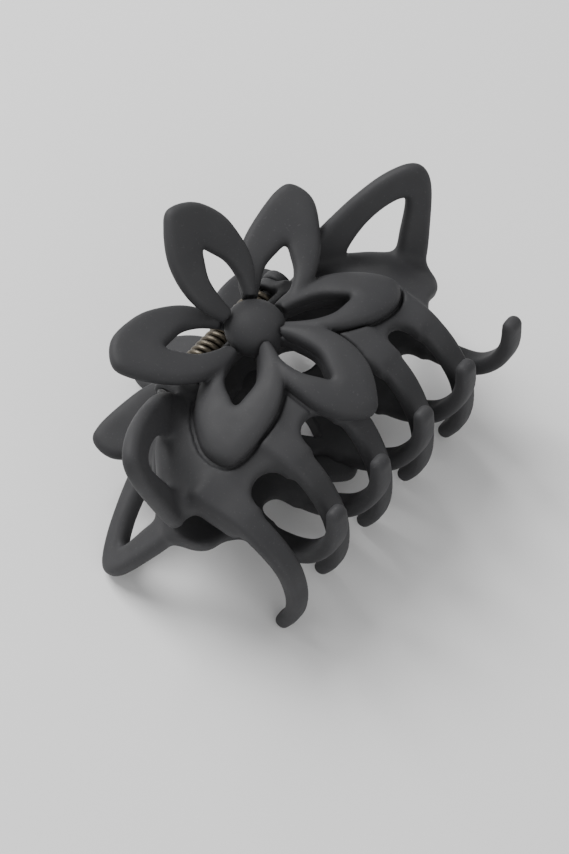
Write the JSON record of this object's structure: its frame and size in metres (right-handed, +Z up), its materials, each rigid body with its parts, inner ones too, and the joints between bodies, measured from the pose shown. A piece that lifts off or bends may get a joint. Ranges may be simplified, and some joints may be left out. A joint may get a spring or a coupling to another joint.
{
  "type": "flower claw hair clip",
  "caption": "Spring claw hair clip with an open-petalled flower on each half, interlocking curved teeth and open corner loops.",
  "frame": {"origin": "centre of the bounding box, on the table plane the clip rests on", "axes": "+X along the hinge, +Y from the teeth toward the finger petals, +Z up with the clip lying on one half"},
  "size_m": [0.079, 0.061, 0.048],
  "materials": {
    "matte_grey": "soft matte charcoal grey, lightly rubberised",
    "spring_metal": "drawn wire, dull bronze"
  },
  "bodies": {
    "lower_half": {"lower_jaw": "matte_grey", "lower_flower": "matte_grey", "hinge_pin": "spring_metal", "torsion_spring": "spring_metal"},
    "upper_half": {"upper_jaw": "matte_grey", "upper_flower": "matte_grey"}
  },
  "joints": [
    {"name": "jaw_hinge", "type": "hinge", "parent": "lower_half", "child": "upper_half", "pos_m": [0, 0.0102, 0.02196], "axis": [-1, 0, 0], "range_deg": [0, 60], "stiffness_Nm_per_rad": 0.1, "springref_deg": -34.38, "deforming": ["torsion_spring"]}
  ]
}
